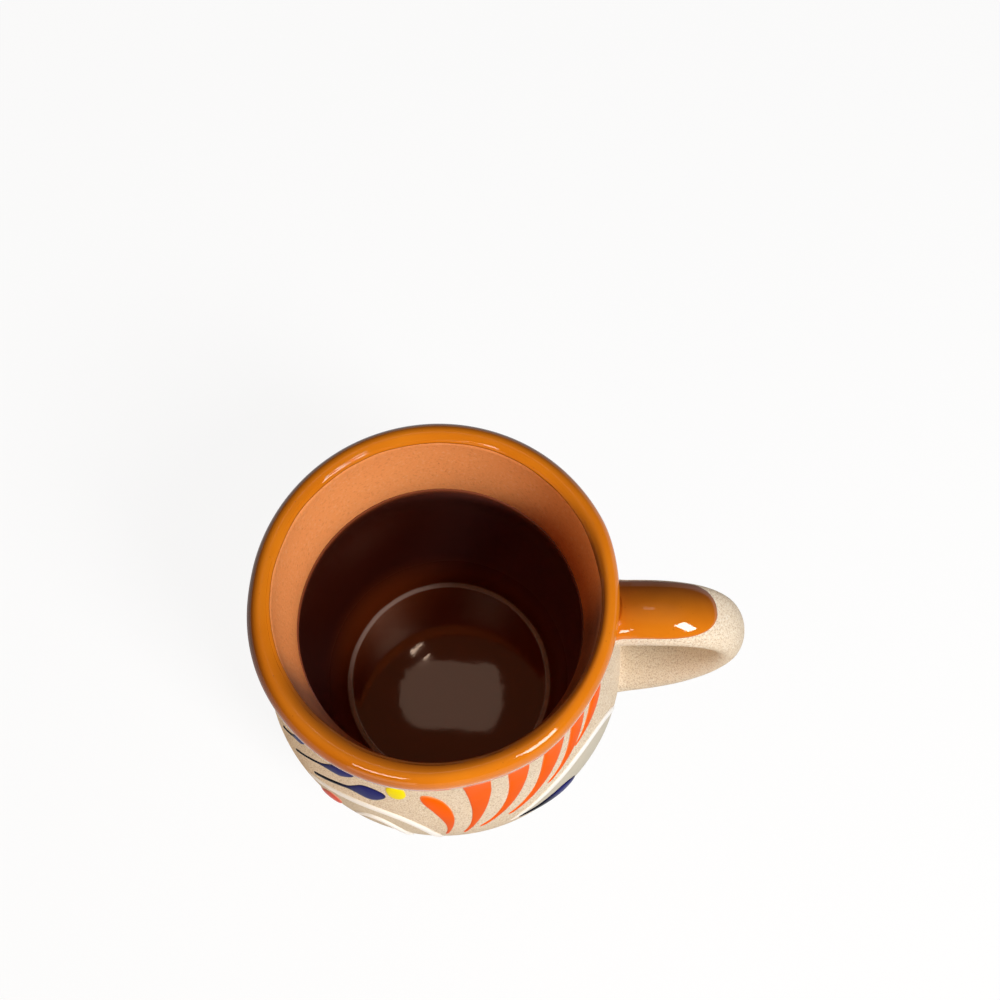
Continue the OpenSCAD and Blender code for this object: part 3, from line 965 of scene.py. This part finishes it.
# Trailed strokes, by angle round the body and share of the painted band


def painted(angle, share):
    return angle, PAINT_LOW_Z + (PAINT_HIGH_Z - PAINT_LOW_Z) * share


def drop_path(tail, head, bow):
    """Four points of a curve from tail to head that bows sideways by a share of its length."""
    middle = [(a + b) / 2 for a, b in zip(tail, head)]
    radius = wall_radius(middle[1])
    run = math.radians(head[0] - tail[0]) * radius
    rise = head[1] - tail[1]
    bend = (middle[0] + math.degrees(rise / radius) * bow, middle[1] - run * bow)
    pull = [[a + (b - a) * 2 / 3 for a, b in zip(end, bend)] for end in (tail, head)]
    return tail, pull[0], pull[1], head


def drop_paths(tails, heads, bows):
    return [
        drop_path(painted(*tail), painted(*head), bow)
        for tail, head, bow in zip(tails, heads, bows)
    ]


FAN_HEADS = [(-93, 0.67), (-76, 0.94), (-59.5, 0.94), (-41.5, 0.91), (-28.5, 0.86), (-15, 0.7)]
FAN_TAILS = [(-86, 0.2), (-80.5, 0.21), (-75.5, 0.27), (-66, 0.32), (-51, 0.42), (-37, 0.52)]
FAN_WIDTHS = [0.74, 1, 0.86, 1, 0.86, 0.85]
FAN_BOWS = [0.28, 0.17, 0.27, 0.25, 0.26, 0.14]
BLUE_HEADS = [(-105.5, 0.58), (-117.5, 0.645), (-139, 0.555), (-41, 0.185)]
BLUE_TAILS = [(-132, 0.335), (-141.5, 0.335), (-150, 0.34), (-63, 0.205)]
BLUE_WIDTHS = [1.25, 0.72, 0.6, 1.3]
BLUE_SLIMS = [0.5, 0.45, 0.4, 0.0]
BLUE_BOWS = [-0.1, -0.06, 0.1, 0.04]
RED_HEADS = [(-121, 0.25)]
RED_TAILS = [(-131, 0.02)]
RED_BOWS = [-0.1]
DOT = painted(-102, 0.655)
ARCHES = [
    [painted(-134, 0.24), painted(-118, 0.41), painted(-93, 0.56), painted(-87.5, 0.08)],
    [painted(-66, 0.2), painted(-49, 0.42), painted(-24, 0.54), painted(-16, 0.22)],
    [painted(-115, 0.2), painted(-110, 0.34), painted(-101, 0.32), painted(-97, 0.04)],
]
LEAF_GREYS = (0.5, 1.0)
LEAF_LOW_Z = PAINT_LOW_Z - 0.02
LEAF_SPAN = 0.06
LEAF_SAG = 0.75
LEAF_STEPS = 10
LEAF_GAP = 0.002


def leaf_stops():
    """The leaves under the first arches, by angle: a ramp of top, bottom and share of grey."""
    def level(z):
        return min(max((z - LEAF_LOW_Z) / LEAF_SPAN, 0.0), 1.0)

    def half_turn_share(angle):
        return angle / 180 + 1

    bare = (0.0, 1.0, 0.0, 1.0)
    stops = [(0.0, bare)]
    for arch, grey in zip(ARCHES, LEAF_GREYS):
        first = arch[0]
        last = arch[3]
        stops.append((half_turn_share(first[0]) - LEAF_GAP, bare))
        for i in range(LEAF_STEPS + 1):
            angle, z = bezier(arch, i / LEAF_STEPS)
            chord = first[1] + (last[1] - first[1]) * (angle - first[0]) / (last[0] - first[0])
            low = chord - LEAF_SAG * (z - chord)
            stops.append((half_turn_share(angle), (level(z), level(low), grey, 1.0)))
        stops.append((half_turn_share(last[0]) + LEAF_GAP, bare))
    return stops


def strokes_mesh(name, paths, widths, slims=None):
    """A point for each stroke and its twin on the back: path, width and share that stays slim."""
    slims = slims or [0.0] * len(paths)
    numbers = {f"{kind}_{i}": [] for kind in ("angle", "height") for i in range(4)}
    numbers["width"] = []
    numbers["slim"] = []
    for half_turn in (0, 180):
        for path, width, slim in zip(paths, widths, slims):
            for i, (angle, z) in enumerate(path):
                numbers[f"angle_{i}"].append(math.radians(angle + half_turn))
                numbers[f"height_{i}"].append(z)
            numbers["width"].append(width)
            numbers["slim"].append(slim)
    return points_mesh(name, [(0, 0, 0)] * len(numbers["width"]), **numbers)


TURNED = turned_form()
STRAP = strap_form()
TONGUE = tongue_form()
JOINT = joint_form()
STROKES = strokes_form()

SANDY = dress("sandy_slip", sandy_slip, 0.1)
BODY = dress("sandy_slip_with_grey_leaves", body_finish, 0.1)
CLAY = dress("red_clay", red_clay, 0.08)
# red clay with painted shade inside the near side of the neck
BODY_CLAY = dress("red_clay_with_painted_neck_shade", body_clay, 0.08)
LIP = dress("caramel_lip_glaze", lip_finish, 0.25)
TONGUE_GLAZE = dress("caramel_tongue_glaze", tongue_finish, 0.4)
UPPER = dress("glazed_upper_joint", upper_joint_finish, 0.4)
LINER = dress("dark_liner_glaze", liner_finish, 0.36, tint("ffdcc0"))
ORANGE = dress("orange_enamel", enamel("ff6600", "f2621a", "f69a5c"), 0.015)
BLUE = dress("cobalt_enamel", enamel("25286e", "12121a", "20203c"), 0.03)
WHITE = dress("white_enamel", enamel("fdfbf7", "faf7f1", "f3ede2"), 0.15)
YELLOW = dress("yellow_enamel", enamel("ffee00", "ffee00", "ecca54"), 0.02)
RED = dress("coral_enamel", enamel("e05a46", "d85542", "e09a84"), 0.03)


def turned_piece(
    name, slot, finish, loop, edges, ways, closed, sides, loose_reach=0.0, ripple=0.0
):
    """Turns a loop on the wheel. Points within the loose reach of an edge follow its ripple."""
    if closed:
        loop, edges, ways = (row + row[:1] for row in (loop, edges, ways))
    loose = [max(0.0, 1 - edge / loose_reach) if loose_reach else 0.0 for edge in edges]
    places = [(max(r, 0.0), 0, z) for r, z in loop]
    points = points_mesh(name, places, edge=edges, way=ways, loose=loose)
    make_piece(name, name, slot, finish, TURNED, points, Rows=len(loop), Sides=sides,
               Wander=HAND_WANDER, Ripple=ripple)


# The thrown body, and the coats that follow its round
clay_loop = (
    [(0.0, 0.0)]
    + foot_line()
    + wall_line(FOOT_ROUND, LIP_Z, CLAY_STEP)
    + lip_line(math.pi, 32)
    + inside_line(LIP_Z - LIP_START_GAP)[::-1]
)
no_edges = [1.0] * len(clay_loop)
turned_piece("clay_body", "red_clay", BODY_CLAY, clay_loop, no_edges, no_edges, closed=False,
             sides=256)

slip_wall = wall_line(SLIP_LOW_Z, BAND_LOW_Z - SEAT_GAP, SLIP_STEP)
slip_coat = coat_loop(slip_wall, SEAT_GAP, SLIP_T, SLIP_LOW_EDGE, SLIP_HIGH_EDGE)
turned_piece("body_slip", "sandy_slip", BODY, *slip_coat, closed=True, sides=320,
             loose_reach=BAND_LOOSE, ripple=BAND_RIPPLE)

band_line = wall_line(BAND_LOW_Z, LIP_Z, GLAZE_STEP) + lip_line(LIP_GLAZE_ANGLE, 64)
lip_coat = coat_loop(band_line, SEAT_GAP, GLAZE_T, BAND_LOW_EDGE, BAND_INNER_EDGE, GLAZE_ROLL)
turned_piece("lip_glaze", "caramel_glaze", LIP, *lip_coat, closed=True, sides=360,
             loose_reach=BAND_LOOSE, ripple=BAND_RIPPLE)

liner_coat = coat_loop(inside_line(LINER_TOP_Z), -SEAT_GAP, -LINER_T, 0, LINER_EDGE)
turned_piece("liner_glaze", "dark_glaze", LINER, *liner_coat, closed=False, sides=320,
             loose_reach=LINER_LOOSE, ripple=LINER_RIPPLE)

# The strap: the clay core, the slip sleeve round it and the glaze tongue on its crown
STRAP_ROWS = 96
shares = [(1 + 2 * JOINT_UNDER) * i / STRAP_ROWS - JOINT_UNDER for i in range(STRAP_ROWS + 1)]
core = [(shares[0], 0, 0)] + [(u, 0, 1) for u in shares] + [(shares[-1], 0, 0)]
make_piece("handle", "handle", "red_clay", CLAY, STRAP, points_mesh("handle", core),
           Rows=len(core), Sides=64)
sleeve = [(u, SLIP_T, 1) for u in shares] + [(u, SEAT_GAP, 1) for u in shares[::-1]]
sleeve = sleeve + sleeve[:1]
make_piece("handle_slip", "handle_slip", "sandy_slip", SANDY, STRAP,
           points_mesh("handle_slip", sleeve), Rows=len(sleeve), Sides=96)


def tongue_spread(u, round_share):
    """1 along the tongue, falling as a quarter round to 0 over a share of the strap at its end."""
    past = max(0.0, (u - TONGUE_END) / round_share + 1)
    return math.sqrt(max(0.0, 1 - past * past))


STRAIGHT_ROWS = 24
ROUND_ROWS = 64
straight = TONGUE_END - FRONT_ROUND
turns = [math.pi / 2 * i / ROUND_ROWS for i in range(ROUND_ROWS + 1)]
tongue_shares = [-JOINT_UNDER] + [straight * i / STRAIGHT_ROWS for i in range(STRAIGHT_ROWS)]
tongue_shares += [straight + FRONT_ROUND * math.sin(turn) for turn in turns]
tongue_rows = [(-JOINT_UNDER, 0.0, 0.0)] + [
    (u, tongue_spread(u, FRONT_ROUND), tongue_spread(u, BACK_ROUND)) for u in tongue_shares
]
tongue_heights = [0.0] + [tongue_spread(u, TONGUE_EDGE) for u in tongue_shares]
make_piece("handle_glaze", "handle_glaze", "caramel_glaze", TONGUE_GLAZE, TONGUE,
           points_mesh("handle_glaze", tongue_rows, height=tongue_heights), Rows=len(tongue_rows),
           Sides=96, Thick=GLAZE_T)

# The joints: a closed foot in the wall, a flare, and an end that closes under the sleeve
FLARE_ROWS = 24
UNDER_ROWS = 4
joint_rows = [(0, 0, 1), (0, 0.5, 1)]
joint_rows += [(i / FLARE_ROWS, 1, 1) for i in range(FLARE_ROWS + 1)]
joint_rows += [(1 + JOINT_UNDER * i / UNDER_ROWS, 1, 1) for i in range(1, UNDER_ROWS + 1)]
joint_rows += [(1 + JOINT_UNDER, 1, 0.5), (1 + JOINT_UNDER, 1, 0)]
make_piece("upper_joint", "upper_joint", "sandy_slip", UPPER, JOINT,
           points_mesh("upper_joint", joint_rows), Rows=len(joint_rows), Sides=96,
           StrapShare=0.0, MiddleZ=UPPER_Z, Way=1.0, HalfWide=STRAP_UPPER_W / 2 + JOINT_SPREAD,
           HalfHigh=STRAP_T / 2 + JOINT_SPREAD, Slope=math.tan(UPPER_ANGLE), CrownGlaze=GLAZE_T)
make_piece("lower_joint", "lower_joint", "sandy_slip", SANDY, JOINT,
           points_mesh("lower_joint", joint_rows), Rows=len(joint_rows), Sides=96,
           StrapShare=1.0, MiddleZ=LOWER_Z, Way=-1.0, HalfWide=STRAP_LOWER_W / 2 + JOINT_SPREAD,
           HalfHigh=STRAP_T / 2 / math.cos(LOWER_ANGLE) + JOINT_SPREAD,
           Slope=math.tan(LOWER_ANGLE), CrownGlaze=0.0)


def strokes_piece(name, slot, finish, sizes, paths, widths, slims=None):
    points = strokes_mesh(name, paths, widths, slims)
    make_piece(name, name, slot, finish, STROKES, points, **sizes)


# The strokes: round drops, slimmer blue drops, even lines and the dot
drop = {"Rows": 56, "Sides": 24, "TailRound": 0.05, "HeadRound": 0.2, "TailShare": 0.12,
        "SwellEnd": 0.8, "Rise": STROKE_RISE, "Shake": 0.16, "Wander": HAND_WANDER}
slim_drop = dict(drop, HeadRound=0.32, TailShare=0.17, SwellEnd=0.82)
even_line = dict(drop, Rows=72, Sides=16, TailRound=0.08, HeadRound=0.08, TailShare=0.55,
                 SwellEnd=0.4)
oval_dot = dict(drop, Rows=32, Sides=32, TailRound=0.5, HeadRound=0.5, TailShare=1.0)
fan_paths = drop_paths(FAN_TAILS, FAN_HEADS, FAN_BOWS)
fan_widths = [ORANGE_W * share for share in FAN_WIDTHS]
blue_paths = drop_paths(BLUE_TAILS, BLUE_HEADS, BLUE_BOWS)
blue_widths = [BLUE_W * share for share in BLUE_WIDTHS]
red_paths = drop_paths(RED_TAILS, RED_HEADS, RED_BOWS)
dot_paths = [[(DOT[0], DOT[1] + DOT_H * share) for share in (-1 / 2, -1 / 6, 1 / 6, 1 / 2)]]
arch_widths = [WHITE_W] * len(ARCHES)
strokes_piece("orange_strokes", "orange_glaze", ORANGE, drop, fan_paths, fan_widths)
strokes_piece("blue_strokes", "blue_glaze", BLUE, slim_drop, blue_paths, blue_widths, BLUE_SLIMS)
strokes_piece("white_arches", "white_glaze", WHITE, even_line, ARCHES, arch_widths)
strokes_piece("yellow_dots", "yellow_glaze", YELLOW, oval_dot, dot_paths, [DOT_W])
strokes_piece("red_strokes", "red_glaze", RED, drop, red_paths, [RED_W])

# The stage: a pale floor, a pale room and soft lamps
FLOOR_HALF = 2.0
FLOOR_DROP = 0.00005
ROOM_LIGHT = 0.035
CEILING_LIGHT = 0.34
MUG_MIDDLE = (0.01, 0.0, 0.08)
LIP_FRONT = (-0.01, -0.04, 0.1)


def seen_rays(graph):
    """1 for rays from the camera, or by way of a shine or of glass."""
    rays = graph.add("ShaderNodeLightPath")
    seen = rays["Is Camera Ray"] + rays["Is Glossy Ray"] + rays["Is Transmission Ray"]
    return graph.math("MINIMUM", seen, 1.0)


floor_mesh = bpy.data.meshes.new("floor")
corners = [
    (x * FLOOR_HALF, y * FLOOR_HALF, -FLOOR_DROP) for x, y in ((-1, -1), (1, -1), (1, 1), (-1, 1))
]
floor_mesh.from_pydata(corners, [], [(0, 1, 2, 3)])
floor = bpy.data.objects.new("floor", floor_mesh)
bpy.context.scene.collection.objects.link(floor)
paper = bpy.data.materials.new("pale_paper")
sheet = bare_graph(paper)
dull = sheet.add("ShaderNodeBsdfDiffuse", None, {"Color": tint("94928e")})
pale = sheet.add("ShaderNodeBsdfDiffuse", None, {"Color": tint("fbfbfa")})
white = sheet.add("ShaderNodeEmission", None, {"Color": (1, 1, 1, 1), "Strength": 1.0})
clean = sheet.add("ShaderNodeMixShader", None, {0: 0.9, 1: pale, 2: white})
laid = sheet.add("ShaderNodeMixShader", None, {0: seen_rays(sheet), 1: dull, 2: clean})
sheet.add("ShaderNodeOutputMaterial", None, {"Surface": laid})
floor_mesh.materials.append(paper)

room = bpy.data.worlds.new("pale_room")
bpy.context.scene.world = room
air = bare_graph(room)
_, _, rise = split(air, air.add("ShaderNodeTexCoord", out="Generated"))
overhead = ROOM_LIGHT + CEILING_LIGHT * air.ease(rise, 0.86, 0.985)
dim = air.add("ShaderNodeBackground", None, {"Color": tint("ffcda8"), "Strength": overhead})
bright = air.add("ShaderNodeBackground", None, {"Color": (1, 1, 1, 1), "Strength": 1.0})
rays = air.add("ShaderNodeLightPath")
shine = (rays["Is Glossy Ray"] + rays["Is Transmission Ray"]) * air.ease(rise, 0.2, 0.05)
wall_share = air.math("MINIMUM", rays["Is Camera Ray"] + shine, 1.0)
glow = air.add("ShaderNodeMixShader", None, {0: wall_share, 1: dim, 2: bright})
air.add("ShaderNodeOutputWorld", None, {"Surface": glow})


def soft_lamp(name, turn, rise, away, wide, high, power, roll=0.0, aim=MUG_MIDDLE, lights=True,
              shines=True, colour=(1, 1, 1)):
    """A lamp by turn and rise in degrees, distance and size in metres, and power in watts.

    It may light without a shine, or be seen as a shine without lighting.
    """
    turn = math.radians(turn)
    rise = math.radians(rise)
    out = Vector((math.cos(rise) * math.cos(turn), math.cos(rise) * math.sin(turn), math.sin(rise)))
    lamp = bpy.data.lights.new(name, "AREA")
    lamp.shape = "RECTANGLE"
    lamp.size = wide
    lamp.size_y = high
    lamp.energy = power
    lamp.color = colour
    holder = bpy.data.objects.new(name, lamp)
    holder.location = Vector(aim) + out * away
    facing = (-out).to_track_quat("-Z", "Y") @ Quaternion((0, 0, 1), math.radians(roll))
    holder.rotation_euler = facing.to_euler()
    holder.visible_diffuse = lights
    holder.visible_glossy = shines
    holder.visible_camera = False
    bpy.context.scene.collection.objects.link(holder)


WARM = tint("ffe2c4")[:3]
soft_lamp("main_softbox", -42, 48, 0.7, 0.18, 0.30, 4.9)
soft_lamp("low_front_window", -108, 7, 0.6, 0.30, 0.22, 0.55, colour=WARM)
soft_lamp("left_front_wall", -142, 8, 0.7, 0.40, 0.20, 1.0, shines=False, colour=WARM)
soft_lamp("left_wall", 152, 2, 0.8, 0.60, 0.12, 1.3, shines=False)
soft_lamp("back_wall", 84, 2, 0.8, 0.60, 0.12, 1.3, shines=False)
soft_lamp("front_strip", -112, 48, 0.25, 0.085, 0.045, 0.24, aim=LIP_FRONT, lights=False)

# On the ceiling: a panel, with ends rounded by strips, and two short tubes
CEILING_Z = 0.81
PANEL_GLOW = 1.55
PANEL_HIGH = 0.066
PANEL_LEFT_X = -0.055
PANEL_RIGHT_X = 0.003
PANEL_Y = 0.147
PANEL_STRIPS = 6
LEFT_STRIP_W = -0.0045
RIGHT_STRIP_W = 0.0024
TUBE_THICK = 0.002
TUBE_ROLL = 49


def ceiling_lamp(name, x, y, wide, high, glow, roll=0.0):
    """A lamp flat on the ceiling, seen only as a shine on the floor of the cup."""
    power = glow * math.pi * wide * high
    soft_lamp(name, 0, 90, CEILING_Z, wide, high, power, roll, (x, y, 0.0), lights=False)


ceiling_lamp("ceiling_panel", (PANEL_LEFT_X + PANEL_RIGHT_X) / 2, PANEL_Y,
             PANEL_RIGHT_X - PANEL_LEFT_X, PANEL_HIGH, PANEL_GLOW)
panel_ends = (("left", PANEL_LEFT_X, LEFT_STRIP_W), ("right", PANEL_RIGHT_X, RIGHT_STRIP_W))
for side, edge_x, strip_w in panel_ends:
    for i in range(PANEL_STRIPS):
        strip_x = edge_x + strip_w * (i + 0.5)
        strip_high = PANEL_HIGH * math.sqrt(1 - ((i + 0.5) / PANEL_STRIPS) ** 2)
        ceiling_lamp(f"ceiling_panel_{side}_{i}", strip_x, PANEL_Y, abs(strip_w), strip_high,
                     PANEL_GLOW)
ceiling_lamp("ceiling_tube_1", -0.0680, 0.191, 0.014, TUBE_THICK, 26, TUBE_ROLL)
ceiling_lamp("ceiling_tube_2", -0.0595, 0.180, 0.013, TUBE_THICK, 25, TUBE_ROLL)

# The camera, held above the mug at the photograph's angle
CAMERA_AZ = math.radians(-88.7)
CAMERA_EL = math.radians(70)
CAMERA_ROLL = math.radians(1.44)
CAMERA_PLACE = (0.01490, -0.06909, 0.35225)
CAMERA_NEAREST = 0.01
LENS_MM = 43.2
SENSOR_MM = 36.0
back = Vector((
    math.cos(CAMERA_EL) * math.cos(CAMERA_AZ), math.cos(CAMERA_EL) * math.sin(CAMERA_AZ),
    math.sin(CAMERA_EL),
))
level_right = Vector((-math.sin(CAMERA_AZ), math.cos(CAMERA_AZ), 0))
level_up = back.cross(level_right)
right = level_right * math.cos(CAMERA_ROLL) + level_up * math.sin(CAMERA_ROLL)
up = level_up * math.cos(CAMERA_ROLL) - level_right * math.sin(CAMERA_ROLL)
camera_data = bpy.data.cameras.new("camera")
camera_data.lens = LENS_MM
camera_data.sensor_width = SENSOR_MM
camera_data.clip_start = CAMERA_NEAREST
camera = bpy.data.objects.new("camera", camera_data)
turned = Matrix((right, up, back)).transposed().to_4x4()
turned.translation = CAMERA_PLACE
camera.matrix_world = turned
bpy.context.scene.collection.objects.link(camera)
bpy.context.scene.camera = camera
bpy.context.scene.view_settings.view_transform = "Standard"
